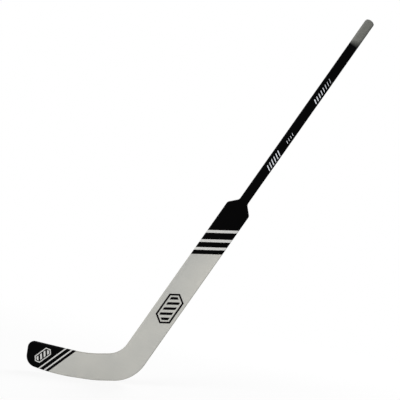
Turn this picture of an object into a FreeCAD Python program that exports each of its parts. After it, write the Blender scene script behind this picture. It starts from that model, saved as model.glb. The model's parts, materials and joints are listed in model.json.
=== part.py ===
import FreeCAD, Part
import math
import os

from FreeCAD import Vector

# A laminated wood hockey goalie stick, standing on the ice as it is played.
# X runs along the blade with the toe at -X, Z is up, and Y runs through the thickness.
# The front faces -Y. The origin is the middle of the flat part of the sole.
# Lengths are in millimetres and angles in degrees.

# Main lines of the stick
lie_angle = 63.0              # between the shaft and the ice
toe_reach = 188.0             # middle of the sole to the toe
heel_reach = 171.0            # middle of the sole to the heel corner, where the paddle's edge meets the ice
paddle_length = 689.0         # heel corner to shoulder, along the paddle's edge
paddle_width = 88.0
shoulder_rise = 29.0          # shoulder to neck, along the shaft
shaft_length = 735.0          # neck to the corners of the butt
shaft_width = 32.5
stick_thickness = 19.0

# Outline of the blade
blade_height = 86.5           # ice to the lowest point of the top edge
top_low_point = 4.0           # middle of the sole to that point, towards the heel
top_edge_radius = 360.0
top_toe_slope = 5.0
top_throat_slope = 9.0
throat_radius = 75.0
toe_top_radius = 22.5
toe_bottom_radius = 38.0
sole_flat = 40.0
toe_rocker_radius = 680.0
toe_rocker_slope = 10.6
heel_rocker_radius = 500.0
heel_rocker_slope = 7.0
heel_radius = 123.0

# Outline of the shoulders and the butt
shoulder_radius = 12.0
neck_radius = 14.0
butt_slope_rise = 7.5         # of the two slopes that the butt's dome rounds off
butt_dome_radius = 22.0
butt_corner_radius = 9.0
edge_radius = 4.0             # rounding along the whole outline, front and back

# Curve and taper of the blade
curve_offset = 78.0           # heel corner to the start of the curve
curve_depth = 15.0            # how far the toe bends back
toe_thickness = 9.0

# Layers through the thickness
skin_thickness = 0.75
face_ply_thickness = 2.5
centre_ply_thickness = 4.5

# Pieces of the paddle and the shaft
rail_width = 9.0
shoulder_block_depth = 40.0   # below the shoulder
splice_margin = 8.0           # end of the throat's bend to the splice of blade and paddle
tongue_length = 150.0         # above the splice
tongue_point = 15.0           # length of the tongue's pointed end
butt_sleeve_length = 98.0     # below the corners of the butt
butt_end_wall = 5.0           # of the butt sleeve, at its corners

# Pieces of the blade
rim_width = 9.0
toe_strip_length = 45.0
heel_strip_start = 70.0       # heel corner back along the sole to the joint with the sole strip

# Working values: how far cutting shapes go past what they cut, how near two points count as one,
# and how much of its wall a rounding may take
cut_reach = 60.0
same_place = 0.001
toe_share = 0.45
butt_share = 0.8
side_share = 0.98

lie = math.radians(lie_angle)
along_shaft = Vector(math.cos(lie), 0, math.sin(lie))
across_shaft = Vector(-math.sin(lie), 0, math.cos(lie))
level = Vector(1, 0, 0)
upright = Vector(0, 0, 1)
heel_corner = Vector(heel_reach, 0, 0)
toe_line = Vector(-toe_reach, 0, 0)
half_paddle = paddle_width / 2
half_shaft = shaft_width / 2
half_core = half_shaft - skin_thickness
half_thickness = stick_thickness / 2
half_plies = half_thickness - skin_thickness
half_fillers = half_plies - face_ply_thickness
half_centre = centre_ply_thickness / 2
far_side = toe_reach + heel_reach + paddle_width
neck = paddle_length + shoulder_rise
butt = neck + shaft_length
ply_end = butt - butt_end_wall
butt_sleeve_start = butt - butt_sleeve_length
block_start = paddle_length - shoulder_block_depth
curve_start = heel_reach - curve_offset
rounding = min(edge_radius, toe_share * toe_thickness, butt_share * butt_corner_radius)


# A point of the stick, from the heel corner up along the shaft and from the shaft's axis towards the toe
def stick_point(along, across):
    return heel_corner + along_shaft * along + across_shaft * (across + half_paddle)


def slope_vector(degrees):
    angle = math.radians(degrees)
    return Vector(math.cos(angle), 0, math.sin(angle))


# Where two lines of the front view meet, each given by a point and a direction
def meeting_point(first, first_way, second, second_way):
    gap = second - first
    spread = first_way.x * second_way.z - first_way.z * second_way.x
    return first + first_way * ((gap.x * second_way.z - gap.z * second_way.x) / spread)


# How far the rounding of a corner reaches along its two sides
def rounding_reach(radius, turn):
    return radius * math.tan(math.radians(turn) / 2)


# Corners of the outline, each a point and a radius. All of them in turn run counter-clockwise from the toe.
def sole_corners():
    toe_bend = level * -(sole_flat / 2 + rounding_reach(toe_rocker_radius, toe_rocker_slope))
    heel_bend = level * (sole_flat / 2 + rounding_reach(heel_rocker_radius, heel_rocker_slope))
    toe_bottom = meeting_point(toe_bend, slope_vector(-toe_rocker_slope), toe_line, upright)
    heel = meeting_point(heel_bend, slope_vector(heel_rocker_slope), heel_corner, along_shaft)
    return [
        (toe_bottom, toe_bottom_radius),
        (toe_bend, toe_rocker_radius),
        (heel_bend, heel_rocker_radius),
        (heel, heel_radius),
    ]


def shaft_corners():
    return [
        (stick_point(paddle_length, -half_paddle), shoulder_radius),
        (stick_point(neck, -half_shaft), neck_radius),
        (stick_point(butt, -half_shaft), butt_corner_radius),
        (stick_point(butt + butt_slope_rise, 0), butt_dome_radius),
        (stick_point(butt, half_shaft), butt_corner_radius),
        (stick_point(neck, half_shaft), neck_radius),
        (stick_point(paddle_length, half_paddle), shoulder_radius),
    ]


def top_corners():
    centre = Vector(top_low_point, 0, blade_height + top_edge_radius)
    throat_way = slope_vector(top_throat_slope)
    toe_way = slope_vector(-top_toe_slope)
    throat_touch = centre + Vector(throat_way.z, 0, -throat_way.x) * top_edge_radius
    toe_touch = centre + Vector(toe_way.z, 0, -toe_way.x) * top_edge_radius
    throat = meeting_point(throat_touch, throat_way, stick_point(0, half_paddle), along_shaft)
    bend = meeting_point(throat_touch, throat_way, toe_touch, toe_way)
    toe_top = meeting_point(toe_touch, toe_way, toe_line, upright)
    return [(throat, throat_radius), (bend, top_edge_radius), (toe_top, toe_top_radius)]


# The blade with a straight paddle and no shaft
def blade_corners():
    ends = [(stick_point(paddle_length, side * half_paddle), shoulder_radius) for side in (-1, 1)]
    return sole_corners() + ends + top_corners()


# The same outline moved inwards
def inset(corners, distance):
    moved = []
    for index, (here, radius) in enumerate(corners):
        arriving = (here - corners[index - 1][0]).normalize()
        leaving = (corners[(index + 1) % len(corners)][0] - here).normalize()
        inwards = Vector(-arriving.z - leaving.z, 0, arriving.x + leaving.x)
        hollow = arriving.x * leaving.z < arriving.z * leaving.x
        new_radius = radius + distance if hollow else radius - distance
        moved.append((here + inwards * (distance / (1 + arriving.dot(leaving))), new_radius))
    return moved


# A closed wire of straight sides and tangent arcs. A rounding gives way where its sides are too short.
def rounded_outline(corners):
    count = len(corners)
    points = [point for point, radius in corners]
    sides = [points[(i + 1) % count] - points[i] for i in range(count)]
    half_turns = [sides[i - 1].getAngle(sides[i]) / 2 for i in range(count)]
    reaches = [corners[i][1] * math.tan(half_turns[i]) for i in range(count)]
    rooms = [side_share * sides[i].Length / (reaches[i] + reaches[(i + 1) % count]) for i in range(count)]
    arcs = []
    for i in range(count):
        fit = min(1, rooms[i - 1], rooms[i])
        back = Vector(sides[i - 1]).normalize() * -1
        ahead = Vector(sides[i]).normalize()
        cut_off = corners[i][1] * fit * (1 / math.cos(half_turns[i]) - 1)
        start = points[i] + back * (reaches[i] * fit)
        end = points[i] + ahead * (reaches[i] * fit)
        arcs.append((start, points[i] + (back + ahead).normalize() * cut_off, end))
    edges = []
    for i, (start, middle, end) in enumerate(arcs):
        edges.append(Part.Arc(start, middle, end).toShape())
        edges.append(Part.makeLine(end, arcs[(i + 1) % count][0]))
    return Part.Wire(edges)


# Cutting shapes that go right through the thickness
def prism(face):
    half_depth = stick_thickness + curve_depth + cut_reach
    return face.translated(Vector(0, -half_depth, 0)).extrude(Vector(0, 2 * half_depth, 0))


def outline_prism(corners):
    return prism(Part.Face(rounded_outline(corners)))


def polygon_prism(points):
    return prism(Part.Face(Part.makePolygon(points + points[:1])))


# A straight stretch of the stick, between two places along the shaft and two places across it
def stretch(start, end, one_side, other_side):
    return polygon_prism([
        stick_point(start, one_side),
        stick_point(end, one_side),
        stick_point(end, other_side),
        stick_point(start, other_side),
    ])


# A length of the blade, between two places along the ice
def blade_between(start, end):
    high = stick_point(splice, half_paddle).z + cut_reach
    corners = [(start, -cut_reach), (end, -cut_reach), (end, high), (start, high)]
    return polygon_prism([Vector(x, 0, z) for x, z in corners])


# The shaft's axis goes through the middle of the thickness. From the start of the curve, each surface bends
# back on an arc that leaves its flat part smoothly. A surface is the place of that flat part and the radius.
def bend_radius(depth):
    run = curve_start + toe_reach
    return (run * run + depth * depth) / (2 * depth)


def surface_point(surface, run):
    flat, radius = surface
    return Vector(curve_start - run, flat + radius - math.sqrt(radius * radius - run * run), 0)


# The space between two surfaces
def layer(near, far):
    toe_run = curve_start + toe_reach + cut_reach
    shaft_run = level * (stick_point(butt, -half_shaft).x + cut_reach - curve_start)
    near_curve = [surface_point(near, run) for run in (0, toe_run / 2, toe_run)]
    far_curve = [surface_point(far, run) for run in (toe_run, toe_run / 2, 0)]
    near_end = near_curve[0] + shaft_run
    far_end = far_curve[-1] + shaft_run
    section = Part.Wire([
        Part.makeLine(near_end, near_curve[0]),
        Part.Arc(*near_curve).toShape(),
        Part.makeLine(near_curve[-1], far_curve[0]),
        Part.Arc(*far_curve).toShape(),
        Part.makeLine(far_curve[-1], far_end),
        Part.makeLine(far_end, near_end),
    ])
    high = stick_point(butt + butt_slope_rise, 0).z + cut_reach
    return Part.Face(section).translated(upright * -cut_reach).extrude(upright * (high + cut_reach))


# Edges along the outline, and not those through the thickness or across a face at the start of the curve
def follows_outline(edge):
    first = edge.Vertexes[0].Point
    last = edge.Vertexes[-1].Point
    one_x = abs(first.x - last.x) < same_place
    through = one_x and abs(first.z - last.z) < same_place
    at_curve_start = one_x and abs(first.x - curve_start) < same_place
    return not through and not at_curve_start


# The glued-up blank, shaped and rounded, of which each outer piece is a share
def shaped_stick():
    outline = sole_corners() + shaft_corners() + top_corners()
    blank = outline_prism(outline).common(layer(front_face, back_face)).Solids[0]
    return blank.makeFillet(rounding, [edge for edge in blank.Edges if follows_outline(edge)])


# The room inside the sleeves, which the plies fill above the neck
def sleeve_room():
    block = stretch(neck, ply_end, -half_core, half_core).common(core).Solids[0]
    lengthwise = [edge for edge in block.Edges if edge.Length > shaft_width + stick_thickness]
    return block.makeFillet(rounding - skin_thickness, lengthwise)


def skin(near, far):
    return stick.common(layer(near, far)).common(stretch(-far_side, neck, -far_side, far_side))


def shaft_sleeve():
    return stick.common(stretch(neck, butt_sleeve_start, -far_side, far_side)).cut(inside_sleeves)


def butt_sleeve():
    end = butt + butt_slope_rise + cut_reach
    return stick.common(stretch(butt_sleeve_start, end, -far_side, far_side)).cut(inside_sleeves)


# A ply runs from the splice up between the paddle's boards and on to the butt
def shaft_ply(near, far):
    in_paddle = stick.common(stretch(splice, neck, -half_core, half_core))
    return in_paddle.fuse(inside_sleeves).common(layer((near, centre_bend), (far, centre_bend)))


# The blade's tongue, which goes up into a slot in the shaft
def tongue():
    shoulder = splice + tongue_length - tongue_point
    return polygon_prism([
        stick_point(splice, -half_core),
        stick_point(shoulder, -half_core),
        stick_point(splice + tongue_length, 0),
        stick_point(shoulder, half_core),
        stick_point(splice, half_core),
    ])


# Boards and blocks beside the shaft. The side is 1 towards the toe and -1 towards the heel.
def paddle_filler(side):
    outer_edge = half_paddle - rail_width
    return stretch(splice, block_start, side * half_core, side * outer_edge).common(core)


def paddle_rail(side):
    inner_edge = half_paddle - rail_width
    return stick.common(stretch(splice, block_start, side * inner_edge, side * far_side)).common(core)


def shoulder_block(side):
    return stick.common(stretch(block_start, neck, side * half_core, side * far_side)).common(core)


def blade_cheek(near, far):
    return blade_inside.common(layer(near, far))


def blade_centre_lamina():
    return blade_inside.fuse(tongue()).common(layer(centre_front, centre_back))


# The upper side of the blade, above half its height and on the toe's side of the shaft's axis
def upper_side():
    half_height = upright * (blade_height / 2)
    top_point = stick_point(splice + cut_reach, 0)
    beyond_toe = -toe_reach - cut_reach
    return polygon_prism([
        Vector(beyond_toe, 0, half_height.z),
        meeting_point(half_height, level, stick_point(0, 0), along_shaft),
        top_point,
        Vector(beyond_toe, 0, top_point.z),
    ])


# The hard edge round the blade, in four lengths
def blade_strips():
    rim = stick.common(core).common(blade_zone).cut(blade_inside)
    upper = upper_side()
    toe_end = blade_between(-toe_reach - cut_reach, -toe_reach + toe_strip_length)
    heel_end = blade_between(heel_reach - heel_strip_start, heel_reach + far_side)
    lower_rim = rim.cut(upper).cut(toe_end)
    return {
        "blade_toe_strip": rim.common(toe_end),
        "blade_top_strip": rim.common(upper).cut(toe_end),
        "blade_sole_strip": lower_rim.cut(heel_end),
        "heel_strip": lower_rim.common(heel_end),
    }


# Surfaces through the thickness, from front to back
taper = (stick_thickness - toe_thickness) / 2
front_bend = bend_radius(curve_depth + taper)
centre_bend = bend_radius(curve_depth)
back_bend = bend_radius(curve_depth - taper)
front_face = (-half_thickness, front_bend)
front_core = (-half_plies, front_bend - skin_thickness)
centre_front = (-half_centre, centre_bend + half_centre)
centre_back = (half_centre, centre_bend - half_centre)
back_core = (half_plies, back_bend + skin_thickness)
back_face = (half_thickness, back_bend)

# The splice of blade and paddle lies just above the throat's bend
throat_reach = rounding_reach(throat_radius, lie_angle - top_throat_slope)
splice = (top_corners()[0][0] - heel_corner).dot(along_shaft) + throat_reach + splice_margin

stick = shaped_stick()
core = layer(front_core, back_core)
inside_sleeves = sleeve_room()
blade_zone = stretch(-far_side, splice, -far_side, far_side)
blade_inside = outline_prism(inset(blade_corners(), rim_width)).common(blade_zone)

pieces = {
    "front_skin": skin(front_face, front_core),
    "back_skin": skin(back_core, back_face),
    "shaft_sleeve": shaft_sleeve(),
    "butt_sleeve": butt_sleeve(),
    "shaft_front_ply": shaft_ply(-half_plies, -half_fillers),
    "shaft_front_filler_ply": shaft_ply(-half_fillers, -half_centre),
    "shaft_centre_ply": shaft_ply(-half_centre, half_centre).cut(tongue()),
    "shaft_back_filler_ply": shaft_ply(half_centre, half_fillers),
    "shaft_back_ply": shaft_ply(half_fillers, half_plies),
    "blade_centre_lamina": blade_centre_lamina(),
    "blade_front_cheek": blade_cheek(front_core, centre_front),
    "blade_back_cheek": blade_cheek(centre_back, back_core),
}
pieces.update(blade_strips())
for side_name, side in (("toe_side", 1), ("heel_side", -1)):
    pieces["paddle_" + side_name + "_filler"] = paddle_filler(side)
    pieces["paddle_" + side_name + "_rail"] = paddle_rail(side)
    pieces[side_name + "_shoulder"] = shoulder_block(side)

os.makedirs("parts", exist_ok=True)
for name, shape in pieces.items():
    piece = shape.removeSplitter()
    piece.exportStep("parts/" + name + ".step")
    print(name, len(piece.Solids), "solid of", round(piece.Volume / 1000, 1), "cm3")
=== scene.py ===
import json
import math

import bpy
from mathutils import Matrix, Vector


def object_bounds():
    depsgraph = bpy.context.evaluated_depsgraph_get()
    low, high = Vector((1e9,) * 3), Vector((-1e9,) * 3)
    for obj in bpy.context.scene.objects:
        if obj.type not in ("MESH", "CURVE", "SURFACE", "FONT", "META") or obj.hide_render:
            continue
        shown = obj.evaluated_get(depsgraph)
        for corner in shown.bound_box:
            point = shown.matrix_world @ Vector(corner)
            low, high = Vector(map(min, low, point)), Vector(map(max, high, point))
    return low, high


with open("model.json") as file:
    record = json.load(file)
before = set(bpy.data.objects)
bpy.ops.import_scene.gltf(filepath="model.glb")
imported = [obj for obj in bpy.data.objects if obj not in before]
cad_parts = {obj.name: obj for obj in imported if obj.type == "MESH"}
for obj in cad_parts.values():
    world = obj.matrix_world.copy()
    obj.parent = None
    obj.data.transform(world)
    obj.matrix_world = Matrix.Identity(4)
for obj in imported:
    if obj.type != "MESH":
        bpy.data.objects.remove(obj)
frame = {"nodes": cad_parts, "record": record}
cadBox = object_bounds()
nodes = frame["nodes"]
print("frame loaded with", len(nodes), "pieces")

# ways and points of the stick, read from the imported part: the grip mount lies on the shaft's axis
mounts = {mount["name"]: mount for mount in frame["record"]["mounts"]}
gripPoint = Vector(mounts["shaft_grip"]["pos_m"])
upShaft = Vector(mounts["shaft_grip"]["axis"]).normalized()
toToe = Vector((-upShaft.z, 0, upShaft.x))      # across the paddle, towards the toe's side
alongBlade = Vector((1, 0, 0))
toBack = Vector((0, 1, 0))                      # through the thickness
offIce = Vector((0, 0, 1))


def reachUpShaft(name):
    heights = [(v.co - gripPoint).dot(upShaft) for v in nodes[name].data.vertices]
    return min(heights), max(heights)


neckPoint = gripPoint + upShaft * reachUpShaft("toe_side_shoulder")[1]
buttStart = gripPoint + upShaft * reachUpShaft("butt_sleeve")[0]

# sizes in the finishes are in millimetres, and depths of bumps in metres
millimetres = 1000              # in a metre
noiseMiddle = 0.5
noiseSpan = (0.35, 0.65)        # most of a noise lies in here
wideNoiseSpan = (0.3, 0.7)      # and nearly all of it in here


# small helpers for shader nodes: a value may be a number, a colour or another node's socket
def addNode(tree, kind, values=None, **settings):
    node = tree.nodes.new(kind)
    for key, setting in settings.items():
        setattr(node, key, setting)
    for key, value in (values or {}).items():
        if isinstance(value, bpy.types.NodeSocket):
            tree.links.new(value, node.inputs[key])
        else:
            node.inputs[key].default_value = value
    return node


def calc(tree, operation, first, second=0.0, third=0.0):
    values = {0: first, 1: second, 2: third}
    return addNode(tree, "ShaderNodeMath", values, operation=operation).outputs[0]


def vectorCalc(tree, operation, first, second=(0, 0, 0)):
    return addNode(tree, "ShaderNodeVectorMath", {0: first, 1: second}, operation=operation).outputs


def dot(tree, place, way):
    return vectorCalc(tree, "DOT_PRODUCT", place, way)["Value"]


def stretch(tree, place, factors):
    return vectorCalc(tree, "MULTIPLY", place, factors)[0]


def noise(tree, place, size, detail, roughness=0.5):
    values = {"Vector": place, "Scale": 1 / size, "Detail": detail, "Roughness": roughness}
    return addNode(tree, "ShaderNodeTexNoise", values).outputs["Fac"]


def spread(tree, value, span, onto=(0, 1)):
    values = {"Value": value, "From Min": span[0], "From Max": span[1], "To Min": onto[0], "To Max": onto[1]}
    return addNode(tree, "ShaderNodeMapRange", values).outputs["Result"]


def blend(tree, share, first, second):
    node = addNode(tree, "ShaderNodeMix", {0: share, 6: first, 7: second}, data_type="RGBA")
    return node.outputs[2]


def bump(tree, height, depth, below=None):
    values = {"Height": height, "Strength": 1.0, "Distance": depth}
    if below:
        values["Normal"] = below
    return addNode(tree, "ShaderNodeBump", values).outputs["Normal"]


def newMaterial(name, shine):
    material = bpy.data.materials.new(name)
    material.use_nodes = True
    shader = material.node_tree.nodes["Principled BSDF"]
    shader.inputs["Specular IOR Level"].default_value = shine
    return material, material.node_tree, shader


def finishMaterial(tree, shader, colour, roughness, normal):
    tree.links.new(colour, shader.inputs["Base Color"])
    tree.links.new(roughness, shader.inputs["Roughness"])
    tree.links.new(normal, shader.inputs["Normal"])


def ownPlace(tree):
    return addNode(tree, "ShaderNodeTexCoord").outputs["Object"]


# millimetres from a point of the stick: along one way, along another, and both with the thickness as a space
def measured(tree, start, firstWay, secondWay):
    away = vectorCalc(tree, "SUBTRACT", ownPlace(tree), start)[0]
    first = dot(tree, away, firstWay * millimetres)
    second = dot(tree, away, secondWay * millimetres)
    through = dot(tree, away, toBack * millimetres)
    space = addNode(tree, "ShaderNodeCombineXYZ", {0: first, 1: second, 2: through}).outputs[0]
    return first, second, space


# a space with its first way along the grain
def grainSpace(tree, grainWay):
    sideways = Vector((-grainWay.z, 0, grainWay.x))
    return measured(tree, neckPoint, grainWay, sideways)[2]


# the same space squeezed along the grain, so that fibres drawn in it run long
def runLong(tree, space, squeeze):
    return stretch(tree, space, (squeeze, 1, 1))


# stripes across the paddle, in millimetres down from the neck
paddleStripes = {
    "solid": 115.7,
    "bands": [("line", 10.9), ("ink", 26.8), ("line", 10.9), ("ink", 20.9), ("line", 10.6), ("ink", 17.3)],
    "slant": -0.66,             # how far a stripe climbs for each millimetre towards the toe
}
# stripes across the toe, counted from a point on the edge of the solid part
toeStripes = {
    "edge": (-0.1060, 0, 0.0482),
    "angle": 44.3,              # from the ice
    "bands": [("line", 4.1), ("ink", 11.3), ("line", 4.4), ("ink", 9.0)],
    "zoneEnd": 0.0,             # they lie on the toe's side of this X
}
# printed edges of all stripes run a little uneven
printEdge = {"waver": 0.5, "unevenness": {"size": 4.0, "detail": 2}}
# plain six-sided plates, one on the paddle and one on the toe, with bars that lie along two of their sides
paddlePlate = {
    "below": 432.2,             # from the neck to its middle
    "toToe": -3.7,
    "length": 120,
    "width": 58,
    "lean": 0.66,
    "line": 6.2,
    "gap": 5.0,
    "bars": 5,
}
toePlate = {
    "centre": (-0.1331, 0, 0.0573),
    "length": 66,
    "width": 28,
    "lean": 0.66,
    "line": 3.0,
    "gap": 3.2,
    "bars": 4,
}


def stripeMasks(tree, distance, solid, bands):
    ink = calc(tree, "LESS_THAN", distance, solid)
    line = None
    start = solid
    for kind, width in bands:
        band = calc(tree, "COMPARE", distance, start + width / 2, width / 2)
        if kind == "ink":
            ink = calc(tree, "MAXIMUM", ink, band)
        else:
            line = calc(tree, "MAXIMUM", line, band) if line else band
        start += width
    return ink, line


def plateMask(tree, along, across, plate):
    lean = plate["lean"]
    steep = math.hypot(1, lean)
    fromAxis = calc(tree, "ABSOLUTE", across)
    pointed = calc(tree, "MULTIPLY_ADD", fromAxis, lean, calc(tree, "ABSOLUTE", along))
    reach = plate["length"] / 2
    endOut = calc(tree, "MULTIPLY", calc(tree, "SUBTRACT", pointed, reach), 1 / steep)
    out = calc(tree, "MAXIMUM", endOut, calc(tree, "SUBTRACT", fromAxis, plate["width"] / 2))
    rim = calc(tree, "COMPARE", out, -plate["line"] / 2, plate["line"] / 2)
    # the bars and the gaps between them share the room inside evenly
    edge = plate["line"] + plate["gap"]
    room = reach - edge * steep
    bar = 2 * room / (2 * plate["bars"] - 1)
    leaning = calc(tree, "MULTIPLY_ADD", across, lean, along)
    fromBar = calc(tree, "PINGPONG", calc(tree, "ADD", leaning, room - bar / 2), bar)
    bars = calc(tree, "LESS_THAN", fromBar, bar / 2)
    inside = calc(tree, "LESS_THAN", out, -edge)
    return calc(tree, "MAXIMUM", rim, calc(tree, "MULTIPLY", bars, inside))


# the print of the paddle and the blade: a mask for black and a mask for the light lines
def stickPrint(tree, up, across, space):
    turn = math.radians(toeStripes["angle"])
    alongStripe = Vector((math.cos(turn), 0, math.sin(turn)))
    offStripe = Vector((math.sin(turn), 0, -math.cos(turn)))
    uneven = calc(tree, "SUBTRACT", noise(tree, space, **printEdge["unevenness"]), noiseMiddle)

    slanted = calc(tree, "MULTIPLY_ADD", across, -paddleStripes["slant"], up)
    down = calc(tree, "MULTIPLY_ADD", uneven, printEdge["waver"], calc(tree, "MULTIPLY", slanted, -1))
    ink, line = stripeMasks(tree, down, paddleStripes["solid"], paddleStripes["bands"])

    fromEdge = measured(tree, Vector(toeStripes["edge"]), offStripe, alongStripe)[0]
    fromEdge = calc(tree, "MULTIPLY_ADD", uneven, printEdge["waver"], fromEdge)
    toeInk, toeLine = stripeMasks(tree, fromEdge, 0.0, toeStripes["bands"])
    atToe = calc(tree, "LESS_THAN", dot(tree, ownPlace(tree), alongBlade), toeStripes["zoneEnd"])
    ink = calc(tree, "MAXIMUM", ink, calc(tree, "MULTIPLY", toeInk, atToe))
    line = calc(tree, "MAXIMUM", line, calc(tree, "MULTIPLY", toeLine, atToe))

    middle = neckPoint + (toToe * paddlePlate["toToe"] - upShaft * paddlePlate["below"]) / millimetres
    alongPlate, acrossPlate = measured(tree, middle, upShaft, toToe)[:2]
    ink = calc(tree, "MAXIMUM", ink, plateMask(tree, alongPlate, acrossPlate, paddlePlate))
    acrossPlate, alongPlate = measured(tree, Vector(toePlate["centre"]), offStripe, alongStripe)[:2]
    onBlack = plateMask(tree, alongPlate, acrossPlate, toePlate)
    ink = calc(tree, "SUBTRACT", ink, onBlack)
    line = calc(tree, "MAXIMUM", line, onBlack)
    return ink, line


# how squarely the surface faces front or back: below the first it is a side, above the second a flat face
roundedEdge = (0.82, 0.99)


def edgeMask(tree):
    facing = addNode(tree, "ShaderNodeTexCoord").outputs["Normal"]
    square = calc(tree, "ABSOLUTE", dot(tree, facing, toBack))
    return spread(tree, square, roundedEdge, (1, 0))


# glass cloth under the paint of the faces
glassCloth = {
    "pitch": 3.2,
    "depth": 0.000022,
    "shade": 0.30,              # share of painted shade in the hollows of the weave
    "edgeShade": 0.15,          # share of thin paint along the rounded edges
    "drift": {"size": 35, "detail": 2},
    "driftReach": 6.0,
    "resin": {"size": 28, "detail": 3},
    "resinSpan": (0.38, 0.62),
    "shown": (0.3, 1),          # share of the weave that shows, under most resin and under least
}


# plain weave, from -1 to 1
def clothRelief(tree, up, across, space):
    cloth = glassCloth
    drift = calc(tree, "MULTIPLY", noise(tree, space, **cloth["drift"]), cloth["driftReach"])
    turn = math.pi / cloth["pitch"]
    warp = calc(tree, "SINE", calc(tree, "MULTIPLY", calc(tree, "ADD", up, drift), turn))
    weft = calc(tree, "SINE", calc(tree, "MULTIPLY", calc(tree, "ADD", across, drift), turn))
    shown = spread(tree, noise(tree, space, **cloth["resin"]), cloth["resinSpan"], cloth["shown"])
    return calc(tree, "MULTIPLY", calc(tree, "MULTIPLY", warp, weft), shown)


# hardwood under the paint of the edges
edgeWood = {
    "fine": {"size": 1.6, "detail": 4, "roughness": 0.6},
    "fineSqueeze": 0.03,
    "broad": {"size": 5.0, "detail": 2},
    "broadSqueeze": 0.015,
    "depth": 0.000020,
    "shade": (1.0, 0.35),       # share of thin paint, in the hollows and on the ridges
}


# long fibres, from 0 to 1
def grainRelief(tree, grainWay):
    wood = edgeWood
    space = grainSpace(tree, grainWay)
    fine = noise(tree, runLong(tree, space, wood["fineSqueeze"]), **wood["fine"])
    broad = noise(tree, runLong(tree, space, wood["broadSqueeze"]), **wood["broad"])
    return calc(tree, "MULTIPLY", calc(tree, "ADD", fine, broad), 1 / 2)


# satin paint with the print on it
stickPaint = {
    "paint": (0.490, 0.489, 0.458, 1),
    "warmPaint": (0.548, 0.542, 0.502, 1),
    "coolPaint": (0.430, 0.433, 0.416, 1),
    "thinPaintAndHollowShade": (0.375, 0.362, 0.318, 1),      # with the wood below coming through on the edges; also the painted shade in the hollows of the weave
    "clouds": {"size": 70, "detail": 3},
    "cloudShare": (0.35, 0.65),                 # of warm paint
    "paintedLightUp": (-560, -320),     # up from the neck: above this, painted light makes the paint warmer and paler towards the heel's side
    "paintedLightAcross": (40, -40),
    "paintedLightShare": (-0.5, 0.5),
    "patches": {"size": 14, "detail": 4, "roughness": 0.6},
    "patchSpan": (0.4, 0.6),
    "patchShare": (0, 0.3),
    "ink": (0.0006, 0.0006, 0.0007, 1),
    "rubbedInk": (0.006, 0.006, 0.0065, 1),
    "rubbing": {"size": 22, "detail": 4, "roughness": 0.65},
    "rubbedShare": (0.2, 1),                    # along the edges
    "line": (0.565, 0.563, 0.545, 1),
    "scuff": (0.13, 0.13, 0.125, 1),
    "scuffHeight": 9.0,         # above the ice
    "scuffLength": 25.0,
    "scuffThickness": 2.5,
    "scuffs": {"size": 1.0, "detail": 4, "roughness": 0.6},
    "scuffSpan": (0.50, 0.72),
    "scuffShare": (0, 0.4),
    "scuffRoughness": 0.3,      # on top of the paint's own
    "paintRoughness": (0.36, 0.52),
    "inkRoughness": (0.30, 0.46),
    "shine": 0.02,
    "peel": {"size": 1.6, "detail": 2},
    "peelDepth": 0.000008,
}


# faint marks of the ice along the sole
def scuffMask(tree, look):
    place = ownPlace(tree)
    perLength = millimetres / look["scuffLength"]
    perThickness = millimetres / look["scuffThickness"]
    scuffSpace = stretch(tree, place, (perLength, perThickness, perThickness))
    marks = noise(tree, scuffSpace, **look["scuffs"])
    height = dot(tree, place, offIce * millimetres)
    return calc(tree, "MULTIPLY", spread(tree, marks, look["scuffSpan"], look["scuffShare"]),
                spread(tree, height, (0, look["scuffHeight"]), (1, 0)))


# over cloth, or over wood where a way for its grain is given
def paintMaterial(name, grainWay=None):
    look = stickPaint
    material, tree, shader = newMaterial(name, look["shine"])
    up, across, space = measured(tree, neckPoint, upShaft, toToe)
    ink, line = stickPrint(tree, up, across, space)
    edge = edgeMask(tree)

    cloudy = spread(tree, noise(tree, space, **look["clouds"]), noiseSpan, look["cloudShare"])
    # painted light: the upper paddle is painted warmer and paler towards the heel's side, over random clouds
    # of warm and cool tone
    paintedLightUp = spread(tree, up, look["paintedLightUp"])
    toHeel = spread(tree, across, look["paintedLightAcross"], look["paintedLightShare"])
    warm = calc(tree, "MULTIPLY_ADD", toHeel, paintedLightUp, cloudy)
    colour = blend(tree, warm, look["coolPaint"], look["warmPaint"])
    patchy = spread(tree, noise(tree, space, **look["patches"]), look["patchSpan"], look["patchShare"])
    colour = blend(tree, patchy, colour, look["paint"])

    if grainWay is None:
        relief, depth = clothRelief(tree, up, across, space), glassCloth["depth"]
        # painted shade: the hollows of the weave are painted darker, and the rounded edges get thin paint
        thin = spread(tree, relief, (1, -1), (0, glassCloth["shade"]))
        thin = calc(tree, "MAXIMUM", thin, calc(tree, "MULTIPLY", edge, glassCloth["edgeShade"]))
    else:
        relief, depth = grainRelief(tree, grainWay), edgeWood["depth"]
        thin = spread(tree, relief, noiseSpan, edgeWood["shade"])
    colour = blend(tree, thin, colour, look["thinPaintAndHollowShade"])

    # light lines, and black print that is rubbed a little along the edges
    rubbing = noise(tree, space, **look["rubbing"])
    rubbed = calc(tree, "MULTIPLY", edge, spread(tree, rubbing, noiseSpan, look["rubbedShare"]))
    inkColour = blend(tree, rubbed, look["ink"], look["rubbedInk"])
    colour = blend(tree, line, colour, look["line"])
    colour = blend(tree, ink, colour, inkColour)
    scuffed = scuffMask(tree, look)
    colour = blend(tree, scuffed, colour, look["scuff"])

    paintRough = spread(tree, rubbing, wideNoiseSpan, look["paintRoughness"])
    inkRough = spread(tree, rubbing, wideNoiseSpan, look["inkRoughness"])
    roughness = calc(tree, "ADD", calc(tree, "MULTIPLY", paintRough, calc(tree, "SUBTRACT", 1, ink)),
                     calc(tree, "MULTIPLY", inkRough, ink))
    roughness = calc(tree, "MULTIPLY_ADD", scuffed, look["scuffRoughness"], roughness)

    normal = bump(tree, relief, depth)
    normal = bump(tree, noise(tree, space, **look["peel"]), look["peelDepth"], normal)
    finishMaterial(tree, shader, colour, roughness, normal)
    return material


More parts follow.
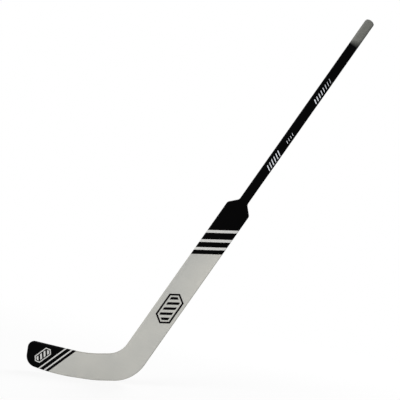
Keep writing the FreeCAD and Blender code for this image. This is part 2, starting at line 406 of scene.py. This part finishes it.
# black lacquered sleeve of the shaft
sleeveLook = {
    "black": (0.0006, 0.0006, 0.0007, 1),
    "rubbed": (0.006, 0.006, 0.0065, 1),
    "rubbing": {"size": 26, "detail": 4, "roughness": 0.65},
    "rubbedShare": (0.2, 1),                    # along the edges
    "fibres": {"size": 0.9, "detail": 4, "roughness": 0.6},
    "fibreSqueeze": 0.02,
    "fibreSpan": (0.45, 0.75),
    "fibreShare": (0, 0.2),                     # how far the fibres show as rubbed
    "fibreDepth": 0.000006,
    "roughness": (0.28, 0.44),
    "shine": 0.02,
    "peel": {"size": 2.2, "detail": 2},
    "peelDepth": 0.000008,
    "bars": (0.65, 0.67, 0.71, 1),
    "barLean": 0.6,
}
# three plain groups of slanted bars on it, each with its middle up from the neck, its place across,
# its length, width and pitch, and its thickest and thinnest bar
sleeveBars = [
    {"up": 170.8, "across": -3.4, "length": 72, "width": 17, "pitch": 12.0, "thick": 3.7, "thin": 3.7},
    {"up": 262.8, "across": -4.6, "length": 42, "width": 8, "pitch": 10.5, "thick": 2.0, "thin": 2.0},
    {"up": 453.8, "across": -3.8, "length": 96, "width": 13, "pitch": 12.0, "thick": 4.6, "thin": 1.3},
]


def barsMask(tree, up, across, group):
    along = calc(tree, "SUBTRACT", up, group["up"])
    sideways = calc(tree, "SUBTRACT", across, group["across"])
    leaning = calc(tree, "MULTIPLY_ADD", sideways, -sleeveLook["barLean"], along)
    halfPitch = group["pitch"] / 2
    half = group["length"] / 2
    fromBar = calc(tree, "PINGPONG", calc(tree, "ADD", leaning, half - halfPitch), halfPitch)
    halfBar = spread(tree, leaning, (-half, half), (group["thick"] / 2, group["thin"] / 2))
    bar = calc(tree, "LESS_THAN", fromBar, halfBar)
    inLength = calc(tree, "COMPARE", leaning, 0.0, half)
    inWidth = calc(tree, "COMPARE", sideways, 0.0, group["width"] / 2)
    return calc(tree, "MULTIPLY", bar, calc(tree, "MULTIPLY", inLength, inWidth))


def sleeveMaterial():
    look = sleeveLook
    material, tree, shader = newMaterial("blackLacquer", look["shine"])
    up, across, space = measured(tree, neckPoint, upShaft, toToe)
    fibres = noise(tree, runLong(tree, space, look["fibreSqueeze"]), **look["fibres"])
    rubbing = noise(tree, space, **look["rubbing"])
    rubbed = calc(tree, "MULTIPLY", edgeMask(tree), spread(tree, rubbing, noiseSpan, look["rubbedShare"]))
    rubbed = calc(tree, "MAXIMUM", rubbed, spread(tree, fibres, look["fibreSpan"], look["fibreShare"]))
    colour = blend(tree, rubbed, look["black"], look["rubbed"])
    for group in sleeveBars:
        colour = blend(tree, barsMask(tree, up, across, group), colour, look["bars"])
    roughness = spread(tree, rubbing, wideNoiseSpan, look["roughness"])
    normal = bump(tree, fibres, look["fibreDepth"])
    normal = bump(tree, noise(tree, space, **look["peel"]), look["peelDepth"], normal)
    finishMaterial(tree, shader, colour, roughness, normal)
    return material


# grey grip coat of the butt, sprayed on, so it fades into the black below it
buttLook = {
    "grey": (0.138, 0.141, 0.126, 1),
    "worn": (0.165, 0.166, 0.152, 1),
    "wear": {"size": 7, "detail": 4, "roughness": 0.6},
    "pale": (0.185, 0.186, 0.172, 1),           # painted highlight along the edge on the toe's side, where the light falls
    "paintedHighlightAcross": (5, 12),                      # from the axis: where it begins and where it is full
    "dark": (0.105, 0.107, 0.097, 1),           # painted shade along the other edge, turned from the light
    "paintedShadeAcross": (-6, -14),
    "black": (0.0006, 0.0006, 0.0007, 1),
    "fade": 22.0,               # length of the fade on the shaft's axis
    "fadeLean": -0.6,           # shorter towards the toe's side
    "spray": 5.0,
    "grit": {"size": 0.8, "detail": 3, "roughness": 0.6},
    "gritDepth": 0.00003,
    "roughness": (0.55, 0.75),
    "shine": 0.12,
}


def buttMaterial():
    look = buttLook
    material, tree, shader = newMaterial("greyGripCoat", look["shine"])
    up, across, space = measured(tree, buttStart, upShaft, toToe)
    grit = noise(tree, space, **look["grit"])
    worn = spread(tree, noise(tree, space, **look["wear"]), noiseSpan)
    colour = blend(tree, worn, look["grey"], look["worn"])
    # a painted highlight along the edge on the toe's side and painted shade along the other edge
    colour = blend(tree, spread(tree, across, look["paintedHighlightAcross"]), colour, look["pale"])
    colour = blend(tree, spread(tree, across, look["paintedShadeAcross"]), colour, look["dark"])
    fadeLength = calc(tree, "MULTIPLY_ADD", across, look["fadeLean"], look["fade"])
    sprayed = calc(tree, "MULTIPLY_ADD", calc(tree, "SUBTRACT", grit, noiseMiddle), look["spray"], up)
    cover = spread(tree, calc(tree, "DIVIDE", sprayed, fadeLength), (0, 1))
    colour = blend(tree, cover, look["black"], colour)
    roughness = spread(tree, grit, wideNoiseSpan, look["roughness"])
    finishMaterial(tree, shader, colour, roughness, bump(tree, grit, look["gritDepth"]))
    return material


# bare wood of the plies and boards inside
bareWood = {
    "ringSqueeze": 0.012,
    "ringSpan": (0.32, 0.68),
    "pores": {"size": 0.35, "detail": 2},
    "poreSqueeze": 0.06,
    "poreSpan": (0.55, 0.75),
    "poreShare": (0, 0.5),
    "poreDepth": 0.00004,
    "roughness": (0.62, 0.78),
    "shine": 0.3,
}
birch = {
    "pale": (0.66, 0.49, 0.31, 1),
    "dark": (0.50, 0.33, 0.18, 1),
    "rings": {"size": 2.6, "detail": 5, "roughness": 0.62},
}
aspen = {
    "pale": (0.76, 0.65, 0.47, 1),
    "dark": (0.63, 0.49, 0.32, 1),
    "rings": {"size": 4.5, "detail": 5, "roughness": 0.62},
}


def woodMaterial(name, wood, grainWay):
    look = bareWood
    material, tree, shader = newMaterial(name, look["shine"])
    space = grainSpace(tree, grainWay)
    rings = noise(tree, runLong(tree, space, look["ringSqueeze"]), **wood["rings"])
    pores = noise(tree, runLong(tree, space, look["poreSqueeze"]), **look["pores"])
    colour = blend(tree, spread(tree, rings, look["ringSpan"]), wood["dark"], wood["pale"])
    colour = blend(tree, spread(tree, pores, look["poreSpan"], look["poreShare"]), colour, wood["dark"])
    roughness = spread(tree, rings, wideNoiseSpan, look["roughness"])
    finishMaterial(tree, shader, colour, roughness, bump(tree, pores, look["poreDepth"]))
    return material


finishes = {
    "skin": paintMaterial("satinPaintOnCloth"),
    "shaftEdge": paintMaterial("satinPaintOnRails", upShaft),
    "bladeEdge": paintMaterial("satinPaintOnBladeEdge", alongBlade),
    "sleeve": sleeveMaterial(),
    "butt": buttMaterial(),
    "birchUpShaft": woodMaterial("birchUpShaft", birch, upShaft),
    "birchAlongBlade": woodMaterial("birchAlongBlade", birch, alongBlade),
    "aspenUpShaft": woodMaterial("aspenUpShaft", aspen, upShaft),
    "aspenAlongBlade": woodMaterial("aspenAlongBlade", aspen, alongBlade),
}
print(len(finishes), "finishes made")

# which pieces wear which finish
wearers = {
    "skin": ["front_skin", "back_skin"],
    "shaftEdge": ["paddle_toe_side_rail", "paddle_heel_side_rail", "toe_side_shoulder", "heel_side_shoulder"],
    "bladeEdge": ["blade_toe_strip", "blade_top_strip", "blade_sole_strip", "heel_strip"],
    "sleeve": ["shaft_sleeve"],
    "butt": ["butt_sleeve"],
    "birchUpShaft": ["shaft_front_ply", "shaft_centre_ply", "shaft_back_ply"],
    "birchAlongBlade": ["blade_centre_lamina"],
    "aspenUpShaft": ["shaft_front_filler_ply", "shaft_back_filler_ply",
                     "paddle_toe_side_filler", "paddle_heel_side_filler"],
    "aspenAlongBlade": ["blade_front_cheek", "blade_back_cheek"],
}
for finish, names in wearers.items():
    for name in names:
        nodes[name].data.materials.clear()
        nodes[name].data.materials.append(finishes[finish])
print("finishes on", sum(len(names) for names in wearers.values()), "pieces")

# plain pale floor, lit white for the eye and for reflections, with the stick's own shadow on it
floorLook = {
    "radius": 6.0,
    "sides": 96,
    "below": 0.0005,            # under the sole
    "colour": (0.95, 0.95, 0.95, 1),
    "shadowShare": 0.15,
    "shadowReach": (1.0, 2.5),  # from the middle: the shadow fades out between these
}


def seenRays(tree):
    rays = addNode(tree, "ShaderNodeLightPath").outputs
    seen = calc(tree, "MAXIMUM", rays["Is Camera Ray"], rays["Is Glossy Ray"])
    return calc(tree, "MAXIMUM", seen, rays["Is Transmission Ray"])


def makeFloor():
    look = floorLook
    bpy.ops.mesh.primitive_circle_add(vertices=look["sides"], radius=look["radius"], fill_type="NGON",
                                      location=(0, 0, -look["below"]))
    floor = bpy.context.object
    floor.name = "floor"
    material = bpy.data.materials.new("paleFloor")
    material.use_nodes = True
    tree = material.node_tree
    tree.nodes.clear()
    matt = addNode(tree, "ShaderNodeBsdfDiffuse", {"Color": look["colour"]})
    white = addNode(tree, "ShaderNodeEmission", {"Strength": 1.0})
    away = vectorCalc(tree, "LENGTH", ownPlace(tree))["Value"]
    share = spread(tree, away, look["shadowReach"], (1 - look["shadowShare"], 1))
    share = calc(tree, "MULTIPLY", share, seenRays(tree))
    mix = addNode(tree, "ShaderNodeMixShader", {0: share, 1: matt.outputs[0], 2: white.outputs[0]})
    addNode(tree, "ShaderNodeOutputMaterial", {"Surface": mix.outputs[0]})
    floor.data.materials.append(material)


# even light all round, and two soft boxes, one for each face of the stick
softLight = {"level": 0.32, "colour": (1, 1, 1, 1)}
softBoxes = [
    {"name": "frontBox", "place": (-1.8, -3.2, 1.9), "size": 2.0, "watts": 112},
    {"name": "backBox", "place": (1.8, 3.2, 2.1), "size": 2.0, "watts": 112},
]
stickMiddle = (cadBox[0] + cadBox[1]) / 2


def makeLight():
    world = bpy.data.worlds.new("studio")
    bpy.context.scene.world = world
    world.use_nodes = True
    tree = world.node_tree
    tree.nodes.clear()
    colour = softLight["colour"]
    soft = addNode(tree, "ShaderNodeBackground", {"Color": colour, "Strength": softLight["level"]})
    white = addNode(tree, "ShaderNodeBackground", {"Color": colour, "Strength": 1.0})
    mix = addNode(tree, "ShaderNodeMixShader", {0: seenRays(tree), 1: soft.outputs[0], 2: white.outputs[0]})
    addNode(tree, "ShaderNodeOutputWorld", {"Surface": mix.outputs[0]})
    for box in softBoxes:
        lamp = bpy.data.lights.new(box["name"], "AREA")
        lamp.shape = "SQUARE"
        lamp.size = box["size"]
        lamp.energy = box["watts"]
        lampObject = bpy.data.objects.new(box["name"], lamp)
        bpy.context.scene.collection.objects.link(lampObject)
        lampObject.location = box["place"]
        toStick = stickMiddle - lampObject.location
        lampObject.rotation_euler = toStick.to_track_quat("-Z", "Y").to_euler()
        lampObject.visible_camera = False


# the camera looks square at the front, and is rolled so that the stick leans as in the picture
cameraLook = {
    "lens": 120.0,
    "sensor": 36.0,
    "roll": 8.169,              # degrees
    "picture": 400,             # pixels across and down
    "metresPerPixel": 0.0033415,
    "solePixel": (79.665, 377.956),     # where the middle of the sole lies in the picture
}


def makeCamera():
    look = cameraLook
    data = bpy.data.cameras.new("camera")
    data.lens = look["lens"]
    data.sensor_width = look["sensor"]
    camera = bpy.data.objects.new("camera", data)
    bpy.context.scene.collection.objects.link(camera)
    upright = Matrix.Rotation(math.radians(90), 4, "X")
    turned = upright @ Matrix.Rotation(math.radians(look["roll"]), 4, "Z")
    toRight, toTop, backwards = (turned.to_3x3().col[i] for i in range(3))
    half = look["picture"] / 2
    right = (half - look["solePixel"][0]) * look["metresPerPixel"]
    top = (look["solePixel"][1] - half) * look["metresPerPixel"]
    distance = look["picture"] * look["metresPerPixel"] * look["lens"] / look["sensor"]
    turned.translation = toRight * right + toTop * top + backwards * distance
    camera.matrix_world = turned
    bpy.context.scene.camera = camera


makeFloor()
makeLight()
makeCamera()
bpy.context.scene.view_settings.view_transform = "Standard"
print("studio and camera ready")
